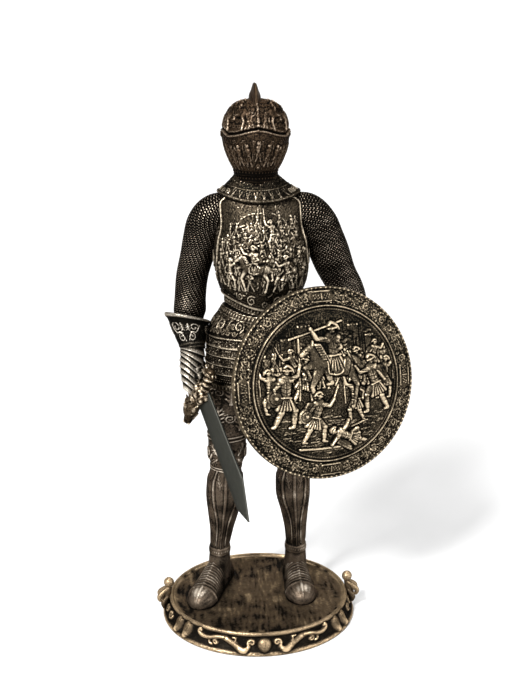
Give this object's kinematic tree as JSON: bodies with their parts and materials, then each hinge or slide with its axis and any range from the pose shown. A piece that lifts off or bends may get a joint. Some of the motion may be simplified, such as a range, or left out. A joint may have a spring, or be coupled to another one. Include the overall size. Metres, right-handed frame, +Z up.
{
  "type": "knight statuette",
  "caption": "Standing knight in embossed parade armour on an oval scrollwork plinth, holding a round relief shield and a short flat-bladed sword.",
  "frame": {"origin": "on the underside, below the middle of the oval plinth", "axes": "+Z up the figure, -Y the way it faces, +X towards its shield side"},
  "size_m": [0.1545, 0.1136, 0.33],
  "materials": {
    "antique_bronze": "cold-cast resin, near black in the hollows with brown and dry-brushed pale gold on the relief, satin",
    "blade_grey": "flat dark grey, satin"
  },
  "bodies": {
    "root": {"plinth": "antique_bronze", "knight": "antique_bronze", "shield": "antique_bronze", "sword_blade": "blade_grey"}
  },
  "joints": []
}
